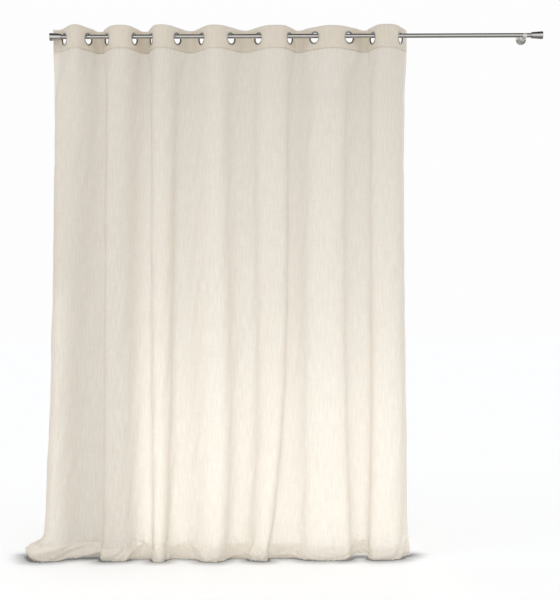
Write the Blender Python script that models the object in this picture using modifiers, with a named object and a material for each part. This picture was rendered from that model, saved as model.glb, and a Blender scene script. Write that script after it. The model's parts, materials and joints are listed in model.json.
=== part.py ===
"""Eyelet curtain on its rod, in metres, +Z up.

The wall is the plane y = 0 and the room is on the -Y side. The origin is the centre of the right wall
plate's back face, +X runs along the rod to the right as seen from the room. A sheer cloth hangs from
fourteen eyelets, pushed to the left of the rod, and breaks on the floor at its hem.

The cloth is worked out section by section. Seen from above it is a wave that crosses the rod's plane at
each eyelet: a front fold, a back fold, and so on. A fold's depth isn't drawn: it follows from the width of
cloth in the fold, the distance between its two crossings, and the angles at which it crosses.
"""

import math
from collections import namedtuple

import bmesh
import bpy
import numpy as np
from mathutils import Matrix, Vector

MM = 0.001
CM = 0.01
GAP = 0.3 * MM

# Rod, finials and brackets
ROD_RADIUS = 10 * MM
ROD_TO_WALL = 85 * MM
ROD_RISE = 3 * MM
BRACKET_SPACING = 2040 * MM
ROD_LEFT_END = -2088 * MM
ROD_RIGHT_END = 28.5 * MM
FINIAL_INNER_RADIUS = 14 * MM
FINIAL_OUTER_RADIUS = 18 * MM
FINIAL_LENGTH = 53 * MM
FINIAL_EDGE = 1.5 * MM
PLATE_RADIUS = 24 * MM
PLATE_THICKNESS = 6 * MM
PLATE_EDGE = 2 * MM
ARM_RADIUS = 11 * MM
ARM_LIP = 4 * MM
ROUND_STEPS = 32

# Eyelets: a pressed ring that grips the heading from both faces. A slanting rod comes nearest to its hole
# at EYELET_NEAREST from the ring's middle plane.
EYELET_HOLE_RADIUS = 21.5 * MM
EYELET_BARREL_RADIUS = 22.9 * MM
EYELET_RIM_RADIUS = 29 * MM
EYELET_CREST_RADIUS = 25.4 * MM
EYELET_HALF_HEIGHT = 4 * MM
EYELET_HALF_BORE = 1.3 * MM
EYELET_NEAREST = 1.7 * MM
EYELET_STEPS = 16

# Cloth: heights are given from the rod's axis, flat sizes are those of the cloth before it is hung.
# It is flat for STIFF_HALF_WIDTH to each side of an eyelet. CLOTH_SLIDE is the share of a fold's extra width
# that is made up with cloth from its neighbours, which is 0 at the eyelets and grows below them.
FLOOR_DROP = 2356 * MM
HEADING_TOP = 40 * MM
HEADING_HEIGHT = 103 * MM
HEADING_THICKNESS = 3 * MM
PANEL_THICKNESS = 2 * MM
EYELET_PITCH = 178 * MM
EDGE_TO_EYELET = 76 * MM
HEADING_HOLE_RADIUS = 23.4 * MM
STIFF_HALF_WIDTH = 31 * MM
TOP_EDGE_TIP = 0.03
STIFF_FADE = 1.5
CLOTH_SLIDE = 0.7
TIGHTEST_BEND = math.radians(55)
FLATTEST_BEND = -0.62
SETTLED_DROP = 240 * MM
HEM_ZONE = 120 * MM
FULL_TOE = 20 * MM

# Distance from the right bracket to each crossing, to the left, at the rod and at four drops below it
TABLE_DROPS = (300 * MM, 740 * MM, 1690 * MM, 2270 * MM)
Crossing = namedtuple("Crossing", "at_rod under upper lower foot angle_at_rod angle_below")
CROSSINGS = (
    # cm from the right bracket                      degrees between cloth and rod
    Crossing(207.4, 211.7, 212.4, 214.6, 217.6, 56, 86),
    Crossing(196.8, 197.4, 199.0, 203.4, 204.9, 60, 50),
    Crossing(188.2, 188.7, 189.2, 189.9, 190.7, 62, 100),
    Crossing(176.0, 176.9, 177.8, 178.8, 179.0, 66, 60),
    Crossing(168.2, 168.3, 168.5, 168.5, 168.1, 70, 92),
    Crossing(156.7, 157.6, 158.6, 160.3, 161.9, 56, 84),
    Crossing(145.6, 146.6, 147.6, 148.3, 148.5, 58, 50),
    Crossing(132.4, 133.5, 133.8, 133.2, 135.4, 50, 76),
    Crossing(120.0, 121.2, 121.4, 121.0, 124.4, 50, 72),
    Crossing(106.0, 106.7, 107.0, 109.5, 115.6, 60, 104),
    Crossing(94.7, 96.9, 98.6, 99.6, 100.7, 38, 62),
    Crossing(79.1, 80.3, 81.3, 80.9, 79.4, 38, 86),
    Crossing(68.4, 69.3, 69.8, 69.8, 71.2, 66, 98),
    Crossing(56.1, 56.5, 56.5, 55.9, 57.0, 62, 70),
)
Edge = namedtuple("Edge", "at_rod under upper lower foot")
LEFT_EDGE = Edge(213.2, 213.4, 212.6, 214.0, 216.8)
RIGHT_EDGE = Edge(52.6, 53.6, 53.9, 53.3, 53.0)

# How the cloth kicks out where it breaks on the floor, in mm: to the right, towards the room, and lifted.
# A tuck of 1 rolls its edge under, and a tuck of 0 spreads it flat on the floor.
Toe = namedtuple("Toe", "place right room lift tuck")
TOES = (
    Toe("left edge", -92, 10, 3, 1),
    Toe("front 1", -42, 14, 0, 1),
    Toe("back 1", -8, 44, 12, 1),
    Toe("front 2", -4, 16, 0, 1),
    Toe("back 2", 2, 54, 0, 0),
    Toe("front 3", -3, 22, 0, 1),
    Toe("back 3", 4, 52, 0, 0),
    Toe("front 4", -4, 26, 0, 1),
    Toe("back 4", 3, 58, 0, 0.2),
    Toe("front 5", 2, 24, 0, 1),
    Toe("back 5", -5, 50, 0, 0.3),
    Toe("front 6", -6, 18, 0, 1),
    Toe("back 6", 4, 46, 18, 0.4),
    Toe("front 7", 3, 12, 0, 1),
    Toe("right edge", 14, 24, 4, 0.5),
)

PANEL_COLUMNS_PER_FOLD = 8
EDGE_COLUMNS = 3
CURVE_SAMPLES = 48


def clear_scene():
    for obj in list(bpy.data.objects):
        bpy.data.objects.remove(obj, do_unlink=True)


def collection_named(name):
    found = bpy.data.collections.new(name)
    bpy.context.scene.collection.children.link(found)
    return found


def make_material(name, color, roughness, metallic):
    material = bpy.data.materials.new(name)
    material.use_nodes = True
    shader = material.node_tree.nodes["Principled BSDF"]
    shader.inputs["Base Color"].default_value = (*color, 1.0)
    shader.inputs["Roughness"].default_value = roughness
    shader.inputs["Metallic"].default_value = metallic
    return material


def add_object(name, mesh, collection, material):
    obj = bpy.data.objects.new(name, mesh)
    collection.objects.link(obj)
    mesh.materials.append(material)
    return obj


def smooth_step(value):
    value = min(max(value, 0.0), 1.0)
    return value * value * (3 - 2 * value)


def below_heading(drop):
    """0 at the heading's lower edge and 1 where the folds hang free of the eyelets."""
    return max(drop + HEADING_TOP - HEADING_HEIGHT, 0.0) / SETTLED_DROP


def at_drop(row, drop):
    """A crossing's or an edge's x: its eyelet's down the heading, then a cubic through the table."""
    cubic = np.polyfit(TABLE_DROPS, [-row.under, -row.upper, -row.lower, -row.foot], 3)
    below = max(drop, TABLE_DROPS[0])
    settled = smooth_step(below_heading(drop))
    return float(np.polyval(cubic, below) * settled - row.at_rod * (1 - settled)) * CM


def bend(angle, extra):
    """Mean rise and run of half a fold that leaves its crossing at this angle and is level at its crest."""
    along = (np.arange(CURVE_SAMPLES) + 0.5) / CURVE_SAMPLES
    heading = angle * np.cos(np.pi * along / 2) + extra * np.sin(np.pi * along)
    return np.sin(heading).mean(), np.cos(heading).mean()


def crest_place(arc, start, end, stiff, extra):
    """Length of cloth before the crest, with both halves equally deep, and the run of the whole fold."""
    rise_start, run_start = bend(start, extra)
    rise_end, run_end = bend(end, extra)
    step = stiff * (math.sin(end) - math.sin(start) + rise_start - rise_end)
    before = (step + arc * rise_end) / (rise_start + rise_end)
    run = stiff * (math.cos(start) + math.cos(end))
    run += (before - stiff) * run_start + (arc - before - stiff) * run_end
    return before, run


def solve_fold(chord, arc, start, end, stiff):
    """The extra bend that makes a fold of this much cloth span this chord."""
    tight, flat = TIGHTEST_BEND, FLATTEST_BEND * min(start, end)
    for _ in range(40):
        extra = (tight + flat) / 2
        before, run = crest_place(arc, start, end, stiff, extra)
        if run > chord:
            flat = extra
        else:
            tight = extra
    return before, extra


def fold_path(chord, arc, start, end, stiff, places):
    """Run and rise of a fold at these lengths of cloth from its first crossing."""
    before, extra = solve_fold(chord, arc, start, end, stiff)
    length = np.linspace(0.0, arc, 4 * CURVE_SAMPLES + 1)
    left = np.clip((length - stiff) / (before - stiff), 0, 1)
    right = np.clip((arc - length - stiff) / (arc - before - stiff), 0, 1)
    heading_left = start * np.cos(np.pi * left / 2) + extra * np.sin(np.pi * left)
    heading_right = -end * np.cos(np.pi * right / 2) - extra * np.sin(np.pi * right)
    heading = np.where(length < before, heading_left, heading_right)
    middle = (heading[1:] + heading[:-1]) / 2
    step = length[1]
    run = np.concatenate([[0.0], np.cumsum(np.cos(middle)) * step])
    rise = np.concatenate([[0.0], np.cumsum(np.sin(middle)) * step])
    run *= chord / run[-1]
    rise -= rise[-1] * length / arc
    return np.interp(places, length, run), np.interp(places, length, rise)


def edge_path(span, angle, stiff, places):
    """Run and rise of the strip outside an outer eyelet, at these lengths of cloth from the crossing."""
    length = np.linspace(0.0, EDGE_TO_EYELET, CURVE_SAMPLES + 1)
    bent = np.clip((length - stiff) / (EDGE_TO_EYELET - stiff), 0, 1)
    low, high = math.radians(-60), math.radians(130)
    for _ in range(40):
        free_end = (low + high) / 2
        heading = angle + (free_end - angle) * bent
        middle = (heading[1:] + heading[:-1]) / 2
        run = np.concatenate([[0.0], np.cumsum(np.cos(middle)) * length[1]])
        rise = np.concatenate([[0.0], np.cumsum(np.sin(middle)) * length[1]])
        if run[-1] > span:
            low = free_end
        else:
            high = free_end
    return np.interp(places, length, run), np.interp(places, length, rise)


def crossing_angles(drop):
    """Angle at each crossing: the eyelets' down to the heading's lower edge, then easing to the folds'."""
    settled = smooth_step(below_heading(drop))
    return [
        math.radians(row.angle_at_rod + (row.angle_below - row.angle_at_rod) * settled)
        for row in CROSSINGS
    ]


def section(drop, places_in_fold, places_in_edge):
    """The cloth seen from above at this drop: (x, y, station) for each column.

    The station counts folds from the left edge: 0 at the edge, 1 at the first fold's crest, and so on.
    """
    settled = smooth_step(below_heading(drop))
    stiff = STIFF_HALF_WIDTH * (1 - smooth_step(STIFF_FADE * below_heading(drop)))
    x_at = [at_drop(row, drop) for row in CROSSINGS]
    angles = crossing_angles(drop)
    chords = np.diff(x_at)
    arcs = EYELET_PITCH + CLOTH_SLIDE * settled * (chords - chords.mean())
    columns = []

    span = x_at[0] - at_drop(LEFT_EDGE, drop)
    run, rise = edge_path(span, angles[0], stiff, places_in_edge[::-1])
    for step, (across, back) in enumerate(zip(run[:-1], rise[:-1])):
        station = 0.5 * step / (len(run) - 1)
        columns.append((x_at[0] - across, back, station))

    for k, (chord, arc) in enumerate(zip(chords, arcs)):
        side = -1 if k % 2 == 0 else 1
        places = places_in_fold(arc)
        run, rise = fold_path(chord, arc, angles[k], angles[k + 1], stiff, places)
        for place, across, out in zip(places, run, rise):
            columns.append((x_at[k] + across, side * out, k + 0.5 + place / arc))

    span = at_drop(RIGHT_EDGE, drop) - x_at[-1]
    run, rise = edge_path(span, angles[-1], stiff, places_in_edge)
    for step, (across, back) in enumerate(zip(run, rise)):
        station = len(CROSSINGS) - 0.5 + 0.5 * step / (len(run) - 1)
        columns.append((x_at[-1] + across, back, station))
    return columns


def heading_places(arc):
    bend_places = np.linspace(STIFF_HALF_WIDTH, arc - STIFF_HALF_WIDTH, 6)
    return np.concatenate([[0.0], bend_places])


def panel_places(arc):
    return np.linspace(0.0, arc, PANEL_COLUMNS_PER_FOLD + 1)[:-1]


def sheet(name, grid, thickness, collection, material):
    """A cloth solid: a grid whose points are moved to the hanging shape, given its thickness both ways."""
    rows, columns = len(grid), len(grid[0])
    shape = bmesh.new()
    bmesh.ops.create_grid(shape, x_segments=columns - 1, y_segments=rows - 1, size=1.0)
    ordered = sorted(shape.verts, key=lambda v: (-round(v.co.y, 5), v.co.x))
    for vertex, place in zip(ordered, (place for row in grid for place in row)):
        vertex.co = place
    bmesh.ops.triangulate(shape, faces=shape.faces)
    mesh = bpy.data.meshes.new(name)
    shape.to_mesh(mesh)
    shape.free()
    mesh.shade_smooth()
    obj = add_object(name, mesh, collection, material)
    solid = obj.modifiers.new("thickness", "SOLIDIFY")
    solid.thickness = thickness
    solid.offset = 0
    return obj


def world(x, y, drop):
    """From a section's own x, y and drop to the part's frame."""
    return Vector((x, y - ROD_TO_WALL, ROD_RISE - drop))


def heading_grid():
    drops = (-HEADING_TOP, HEADING_HEIGHT / 2 - HEADING_TOP, HEADING_HEIGHT - HEADING_TOP)
    edge = np.array([0.0, STIFF_HALF_WIDTH, EDGE_TO_EYELET])
    columns = section(0.0, heading_places, edge)
    grid = []
    for number, drop in enumerate(drops):
        tip = TOP_EDGE_TIP if number == 0 else 0.0
        grid.append([world(x, y, drop + tip * y) for x, y, _ in columns])
    return grid


def toe_at(station):
    """The kick to the right, towards the room and up, and the tuck, eased from crest to crest."""
    first = min(int(station), len(TOES) - 2)
    share = smooth_step(station - first)
    values = []
    for field, unit in (("right", MM), ("room", MM), ("lift", MM), ("tuck", 1)):
        start, end = getattr(TOES[first], field), getattr(TOES[first + 1], field)
        values.append((start + (end - start) * share) * unit)
    return values


# Rows of the hem zone, from its top to the cloth's edge: the height above the floor in mm where the cloth
# falls straight, makes a toe, makes a fat roll and spreads flat, then the reach as a share of the kick
# where the edge is tucked under and where it is flat
HemRow = namedtuple("HemRow", "straight toe roll flat tucked_reach flat_reach")
HEM_ROWS = (
    HemRow(98, 100, 102, 98, 0.08, 0.02),
    HemRow(76, 79, 84, 77, 0.26, 0.08),
    HemRow(56, 58, 70, 58, 0.54, 0.18),
    HemRow(39, 39, 56, 41, 0.84, 0.34),
    HemRow(25, 22, 38, 26, 1.00, 0.54),
    HemRow(14, 8, 16, 13, 0.94, 0.74),
    HemRow(6, 1.5, 3, 4.5, 0.72, 0.90),
    HemRow(1, 1.1, 1.3, 1.2, 0.45, 1.00),
)
BODY_DROPS = (85, 120, 170, 240, 340, 480, 760, 1100, 1450, 1800, 2080)


def hem_place(row, station, x, y):
    """From a straight section's point to the hem's: x, y and the height above the floor."""
    right, room, lift, tuck = toe_at(station)
    kick = math.hypot(right, room)
    toe = smooth_step(kick / FULL_TOE)
    roll = smooth_step((kick - FULL_TOE) / FULL_TOE)
    tucked = (row.straight + (row.toe - row.straight) * toe) * (1 - roll) + row.roll * roll
    height = tucked * tuck + (row.straight + (row.flat - row.straight) * toe) * (1 - tuck)
    height = height * MM + lift * (1 - row.straight * MM / HEM_ZONE)
    reach = row.tucked_reach * tuck + row.flat_reach * (1 - tuck)
    return x + right * reach, y - room * reach, height


def panel_grid():
    edge = np.linspace(0.0, EDGE_TO_EYELET, EDGE_COLUMNS + 1)
    top = HEADING_HEIGHT - HEADING_TOP + 3 * GAP
    hem_top = FLOOR_DROP - HEM_ZONE
    grid = []
    for drop in (top, *(value * MM for value in BODY_DROPS), hem_top):
        columns = section(drop, panel_places, edge)
        grid.append([world(x, y, drop) for x, y, _ in columns])
    for row in HEM_ROWS:
        columns = section(FLOOR_DROP - row.straight * MM, panel_places, edge)
        points = []
        for x, y, station in columns:
            x, y, height = hem_place(row, station, x, y)
            points.append(world(x, y, FLOOR_DROP - height))
        grid.append(points)
    return grid


def turned(name, profile, steps, collection, material, closed=False):
    """A turned shape about its own Z axis, from a profile of (radius, height) down its outer side."""
    mesh = bpy.data.meshes.new(name)
    points = [(radius, 0.0, height) for radius, height in profile]
    edges = [(i, i + 1) for i in range(len(points) - 1)]
    if closed:
        edges.append((len(points) - 1, 0))
    mesh.from_pydata(points, edges, [])
    obj = add_object(name, mesh, collection, material)
    screw = obj.modifiers.new("turn", "SCREW")
    screw.steps = screw.render_steps = steps
    screw.use_merge_vertices = True
    screw.merge_threshold = 0.00001
    screw.use_smooth_shade = False
    return obj


def cylinder_mesh(name, radius, length, steps):
    """A cylinder about Z, from z = 0 to z = length."""
    shape = bmesh.new()
    bmesh.ops.create_cone(
        shape, cap_ends=True, segments=steps, radius1=radius, radius2=radius, depth=length
    )
    bmesh.ops.translate(shape, verts=shape.verts, vec=(0, 0, length / 2))
    mesh = bpy.data.meshes.new(name)
    shape.to_mesh(mesh)
    shape.free()
    return mesh


def box_mesh(name, size, centre):
    shape = bmesh.new()
    bmesh.ops.create_cube(shape, size=1.0)
    bmesh.ops.scale(shape, verts=shape.verts, vec=size)
    bmesh.ops.translate(shape, verts=shape.verts, vec=centre)
    mesh = bpy.data.meshes.new(name)
    shape.to_mesh(mesh)
    shape.free()
    return mesh


def cut(obj, cutter):
    cutter.hide_render = True
    cutter.display_type = "WIRE"
    boolean = obj.modifiers.new(cutter.name, "BOOLEAN")
    boolean.operation = "DIFFERENCE"
    boolean.object = cutter


def along(direction, place):
    """The matrix that puts a shape's own Z axis along this level direction, with its Y axis upright."""
    z = Vector(direction).normalized()
    y = Vector((0, 0, 1))
    x = y.cross(z)
    turn = Matrix((x, y, z)).transposed().to_4x4()
    return Matrix.Translation(place) @ turn


def make_rod(collection, material):
    mesh = cylinder_mesh("rod", ROD_RADIUS, ROD_RIGHT_END - ROD_LEFT_END, ROUND_STEPS)
    mesh.shade_smooth()
    mesh.set_sharp_from_angle(angle=math.radians(40))
    rod = add_object("rod", mesh, collection, material)
    rod.matrix_world = along((1, 0, 0), (ROD_LEFT_END, -ROD_TO_WALL, ROD_RISE))


def make_finial(name, rod_end, side, collection, material):
    """A cone that widens outwards from the rod's end."""
    profile = (
        (0.0, FINIAL_LENGTH),
        (FINIAL_OUTER_RADIUS - FINIAL_EDGE, FINIAL_LENGTH),
        (FINIAL_OUTER_RADIUS, FINIAL_LENGTH - FINIAL_EDGE),
        (FINIAL_INNER_RADIUS, 0.0),
        (0.0, 0.0),
    )
    finial = turned(name, profile, ROUND_STEPS, collection, material)
    start = rod_end + side * GAP
    finial.matrix_world = along((side, 0, 0), (start, -ROD_TO_WALL, ROD_RISE))


def make_wall_plate(name, bracket_x, collection, material):
    mesh = cylinder_mesh(name, PLATE_RADIUS, PLATE_THICKNESS, ROUND_STEPS)
    plate = add_object(name, mesh, collection, material)
    plate.matrix_world = along((0, -1, 0), (bracket_x, 0, 0))
    shape = bmesh.new()
    shape.from_mesh(mesh)
    front = [e for e in shape.edges if all(v.co.z > PLATE_THICKNESS / 2 for v in e.verts)]
    bmesh.ops.bevel(shape, geom=front, offset=PLATE_EDGE, segments=2, affect="EDGES", profile=0.5)
    shape.to_mesh(mesh)
    shape.free()
    mesh.shade_smooth()
    mesh.set_sharp_from_angle(angle=math.radians(35))


def make_arm(name, bracket_x, collection, cutters, material):
    """A round bar from the plate, with an open saddle for the rod near its end and a lip in front of it."""
    start = PLATE_THICKNESS + GAP
    slot_radius = ROD_RADIUS + GAP
    length = ROD_TO_WALL + slot_radius + ARM_LIP - start
    mesh = cylinder_mesh(name, ARM_RADIUS, length, ROUND_STEPS)
    arm = add_object(name, mesh, collection, material)
    arm.matrix_world = along((0, -1, 0), (bracket_x, -start, 0))
    reach = 3 * ARM_RADIUS
    corner_radius = slot_radius / math.cos(math.pi / ROUND_STEPS)
    round_mesh = cylinder_mesh(name + "_seat", corner_radius, reach, ROUND_STEPS)
    seat = bpy.data.objects.new(name + "_seat", round_mesh)
    cutters.objects.link(seat)
    seat.matrix_world = along((1, 0, 0), (bracket_x - reach / 2, -ROD_TO_WALL, ROD_RISE))
    height = 2 * ARM_RADIUS
    mouth_mesh = box_mesh(
        name + "_mouth",
        (reach, 2 * slot_radius, height),
        (bracket_x, -ROD_TO_WALL, ROD_RISE + height / 2),
    )
    mouth = bpy.data.objects.new(name + "_mouth", mouth_mesh)
    cutters.objects.link(mouth)
    cut(arm, seat)
    cut(arm, mouth)


def eyelet_drop(angle):
    """How far the eyelet's centre hangs under the rod's axis, its hole just clear of the slanting rod."""
    clear_radius = EYELET_HOLE_RADIUS * math.cos(math.pi / EYELET_STEPS)
    half_width = ROD_RADIUS / math.sin(angle)
    across = np.linspace(0.0, half_width, CURVE_SAMPLES)
    slant = EYELET_NEAREST / math.tan(angle)
    hole = np.sqrt(clear_radius**2 - (across + slant) ** 2)
    rod = ROD_RADIUS * np.sqrt(1 - (across / half_width) ** 2)
    return float((hole - rod).min()) - GAP


def eyelet_frames():
    """Where each eyelet sits: its matrix, with Z square to the cloth."""
    frames = []
    for k, (row, angle) in enumerate(zip(CROSSINGS, crossing_angles(0.0))):
        drop = eyelet_drop(angle)
        towards_room = 1 if k % 2 == 0 else -1
        normal = (-towards_room * math.sin(angle), -math.cos(angle), 0)
        frames.append(along(normal, world(at_drop(row, 0.0), 0.0, drop)))
    return frames


def make_eyelets(collection, material):
    half_grip = HEADING_THICKNESS / 2 + GAP
    upper = (
        (EYELET_HOLE_RADIUS, EYELET_HALF_BORE),
        (EYELET_CREST_RADIUS, EYELET_HALF_HEIGHT),
        (EYELET_RIM_RADIUS, half_grip),
        (EYELET_BARREL_RADIUS, half_grip),
    )
    profile = upper + tuple((radius, -height) for radius, height in reversed(upper))
    for k, frame in enumerate(eyelet_frames()):
        eyelet = turned(f"eyelet_{k + 1:02d}", profile, EYELET_STEPS, collection, material, closed=True)
        eyelet.matrix_world = frame


def make_heading(collection, cutters, material):
    heading = sheet("heading", heading_grid(), HEADING_THICKNESS, collection, material)
    length = 6 * HEADING_THICKNESS
    for k, frame in enumerate(eyelet_frames()):
        name = f"heading_hole_{k + 1:02d}"
        hole = bpy.data.objects.new(name, cylinder_mesh(name, HEADING_HOLE_RADIUS, length, EYELET_STEPS))
        cutters.objects.link(hole)
        hole.matrix_world = frame @ Matrix.Translation((0, 0, -length / 2))
        cut(heading, hole)


def make_panel(collection, material):
    sheet("panel", panel_grid(), PANEL_THICKNESS, collection, material)


def main():
    clear_scene()
    curtain = collection_named("eyelet_curtain")
    cutters = collection_named("cutters")
    steel = make_material("satin_steel", (0.62, 0.61, 0.59), 0.32, 1.0)
    ring_steel = make_material("eyelet_steel", (0.58, 0.57, 0.54), 0.25, 1.0)
    linen = make_material("sheer_linen", (0.84, 0.80, 0.73), 0.9, 0.0)
    make_rod(curtain, steel)
    make_finial("finial_left", ROD_LEFT_END, -1, curtain, steel)
    make_finial("finial_right", ROD_RIGHT_END, 1, curtain, steel)
    for name, bracket_x in (("left", -BRACKET_SPACING), ("right", 0.0)):
        make_wall_plate(f"wall_plate_{name}", bracket_x, curtain, steel)
        make_arm(f"bracket_arm_{name}", bracket_x, curtain, cutters, steel)
    make_eyelets(curtain, ring_steel)
    make_heading(curtain, cutters, linen)
    make_panel(curtain, linen)


main()
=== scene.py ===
"""Sheer eyelet curtain on its rod: fine cloth, pressed eyelets, satin steel rod, finials and brackets.

Metres, +Z up, the room on the -Y side of the wall, +X along the rod. The origin is on the wall, at the
centre of the right wall plate. The cloth repeats the solids' own fold rules, with finer columns and rows.
"""

import json
import math
from collections import namedtuple

import bmesh
import bpy
import numpy as np
from mathutils import Matrix, Vector
from mathutils.kdtree import KDTree

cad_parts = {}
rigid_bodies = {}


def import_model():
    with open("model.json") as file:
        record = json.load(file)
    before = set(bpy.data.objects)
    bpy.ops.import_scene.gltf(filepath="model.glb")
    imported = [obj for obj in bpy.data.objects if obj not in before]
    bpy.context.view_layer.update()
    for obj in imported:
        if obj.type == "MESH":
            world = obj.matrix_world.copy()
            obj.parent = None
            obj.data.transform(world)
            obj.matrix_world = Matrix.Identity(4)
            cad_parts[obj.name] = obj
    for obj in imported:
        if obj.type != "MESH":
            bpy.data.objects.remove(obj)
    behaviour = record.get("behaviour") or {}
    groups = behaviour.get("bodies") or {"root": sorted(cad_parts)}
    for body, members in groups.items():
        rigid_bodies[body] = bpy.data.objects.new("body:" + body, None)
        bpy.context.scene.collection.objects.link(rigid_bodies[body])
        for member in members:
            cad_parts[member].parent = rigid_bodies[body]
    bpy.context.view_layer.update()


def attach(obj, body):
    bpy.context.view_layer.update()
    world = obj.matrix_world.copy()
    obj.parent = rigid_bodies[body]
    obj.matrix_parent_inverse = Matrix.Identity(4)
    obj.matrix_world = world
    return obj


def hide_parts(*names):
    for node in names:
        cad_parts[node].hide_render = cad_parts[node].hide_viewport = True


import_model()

MM = 0.001
CM = 0.01

# Camera, as the photograph was taken: level, a little turned about its own axis
CAMERA_AT = (-1.1072, -5.585, -1.187)
CAMERA_LENS = 73.16
CAMERA_ROLL = 0.003665

# Light
ROOM_ABOVE = 0.97
ROOM_RIGHT = 0.13
ROOM_FRONT = 0.08
MIRRORED_BAND = 1.15
MIRRORED_ABOVE = 0.05
MIRRORED_NEAR_FLOOR = 0.25
BACKGROUND = 0.985
FLOOR_WHITE = 0.12
FLOOR_STEP = 0.006
HEM_TOUCH = 0.032
# Painted shadow on the floor: its tone under the cloth, the floor's tone away from it, how far it fades behind the
# cloth, and how much paler the far floor is
PAINTED_SHADOW_UNDER_CLOTH = 0.25
OPEN_FLOOR = 0.935
PAINTED_SHADOW_BEHIND_REACH = 0.075
FAR_LIFT = 0.02
Lamp = namedtuple("Lamp", "name watts width height spread place target")
LAMPS = (
    Lamp("low front", 2.1, 2.4, 0.6, 180, (-0.9, -3.2, -2.0), (-1.2, 0, -2.0)),
    Lamp("left", 9.3, 1.0, 1.6, 180, (-3.8, -2.4, -1.2), (-1.2, -0.1, -1.4)),
    Lamp("behind left", 0.26, 0.12, 1.2, 34, (-2.16, 0.32, -1.75), (-2.16, 0, -1.75)),
)

# The strips of light behind the cloth, from the floor up: watts of each
STRIP_HEIGHT = 0.17
STRIP_LOWEST = -2.265
STRIP_WATTS = (0.69, 0.69, 0.67, 0.63, 0.55, 0.45, 0.35, 0.28, 0.22, 0.17, 0.12, 0.07)

# Rod and brackets
ROD_RADIUS = 10 * MM
ROD_TO_WALL = 85 * MM
ROD_RISE = 3 * MM
BRACKET_SPACING = 2040 * MM
ROD_LEFT_END = -2088 * MM
ROD_RIGHT_END = 28.5 * MM
FINIAL_INNER_RADIUS = 14 * MM
FINIAL_OUTER_RADIUS = 18 * MM
FINIAL_LENGTH = 53 * MM
PLATE_RADIUS = 24 * MM
PLATE_THICKNESS = 6 * MM
ARM_RADIUS = 11 * MM
ARM_LIP = 4 * MM
GAP = 0.3 * MM

# Cloth
FLOOR_DROP = 2356 * MM
HEADING_TOP = 40 * MM
HEADING_HEIGHT = 103 * MM
HEADING_THICKNESS = 3 * MM
EYELET_PITCH = 178 * MM
EDGE_TO_EYELET = 76 * MM
EYELET_HOLE_RADIUS = 21.5 * MM
EYELET_RIM_RADIUS = 29 * MM
HEADING_HOLE_RADIUS = 23.4 * MM
EYELET_STEPS = 16
EYELET_NEAREST = 1.7 * MM
RING_STEPS = 64
ROUND_STEPS = 72
STIFF_HALF_WIDTH = 31 * MM
TOP_EDGE_TIP = 0.03
STIFF_FADE = 1.5
CLOTH_SLIDE = 0.7
TIGHTEST_BEND = math.radians(55)
FLATTEST_BEND = -0.62
SETTLED_DROP = 240 * MM
HEM_ZONE = 120 * MM
FULL_TOE = 20 * MM
FLAT_WIDTH = 13 * EYELET_PITCH + 2 * EDGE_TO_EYELET
FLAT_LENGTH = 2445 * MM
HEM_STITCH = 105 * MM

TABLE_DROPS = (300 * MM, 740 * MM, 1690 * MM, 2270 * MM)
Crossing = namedtuple("Crossing", "at_rod under upper lower foot angle_at_rod angle_below")
CROSSINGS = (
    Crossing(207.4, 211.7, 212.4, 214.6, 217.6, 56, 86),
    Crossing(196.8, 197.4, 199.0, 203.4, 204.9, 60, 50),
    Crossing(188.2, 188.7, 189.2, 189.9, 190.7, 62, 100),
    Crossing(176.0, 176.9, 177.8, 178.8, 179.0, 66, 60),
    Crossing(168.2, 168.3, 168.5, 168.5, 168.1, 70, 92),
    Crossing(156.7, 157.6, 158.6, 160.3, 161.9, 56, 84),
    Crossing(145.6, 146.6, 147.6, 148.3, 148.5, 58, 50),
    Crossing(132.4, 133.5, 133.8, 133.2, 135.4, 50, 76),
    Crossing(120.0, 121.2, 121.4, 121.0, 124.4, 50, 72),
    Crossing(106.0, 106.7, 107.0, 109.5, 115.6, 60, 104),
    Crossing(94.7, 96.9, 98.6, 99.6, 100.7, 38, 62),
    Crossing(79.1, 80.3, 81.3, 80.9, 79.4, 38, 86),
    Crossing(68.4, 69.3, 69.8, 69.8, 71.2, 66, 98),
    Crossing(56.1, 56.5, 56.5, 55.9, 57.0, 62, 70),
)
Edge = namedtuple("Edge", "at_rod under upper lower foot")
LEFT_EDGE = Edge(213.2, 213.4, 212.6, 214.0, 216.8)
RIGHT_EDGE = Edge(52.6, 53.6, 53.9, 53.3, 53.0)
Toe = namedtuple("Toe", "place right room lift tuck")
TOES = (
    Toe("left edge", -92, 10, 3, 1),
    Toe("front 1", -42, 14, 0, 1),
    Toe("back 1", -8, 44, 12, 1),
    Toe("front 2", -4, 16, 0, 1),
    Toe("back 2", 2, 54, 0, 0),
    Toe("front 3", -3, 22, 0, 1),
    Toe("back 3", 4, 52, 0, 0),
    Toe("front 4", -4, 26, 0, 1),
    Toe("back 4", 3, 58, 0, 0.2),
    Toe("front 5", 2, 24, 0, 1),
    Toe("back 5", -5, 50, 0, 0.3),
    Toe("front 6", -6, 18, 0, 1),
    Toe("back 6", 4, 46, 18, 0.4),
    Toe("front 7", 3, 12, 0, 1),
    Toe("right edge", 14, 24, 4, 0.5),
)
HemRow = namedtuple("HemRow", "straight toe roll flat tucked_reach flat_reach")
HEM_ROWS = (
    HemRow(120, 120, 120, 120, 0.0, 0.0),
    HemRow(98, 100, 102, 98, 0.08, 0.02),
    HemRow(76, 79, 84, 77, 0.26, 0.08),
    HemRow(56, 58, 70, 58, 0.54, 0.18),
    HemRow(39, 39, 56, 41, 0.84, 0.34),
    HemRow(25, 22, 38, 26, 1.00, 0.54),
    HemRow(14, 8, 16, 13, 0.94, 0.74),
    HemRow(6, 1.5, 3, 4.5, 0.72, 0.90),
    HemRow(1, 1.1, 1.3, 1.2, 0.45, 1.00),
)

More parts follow.
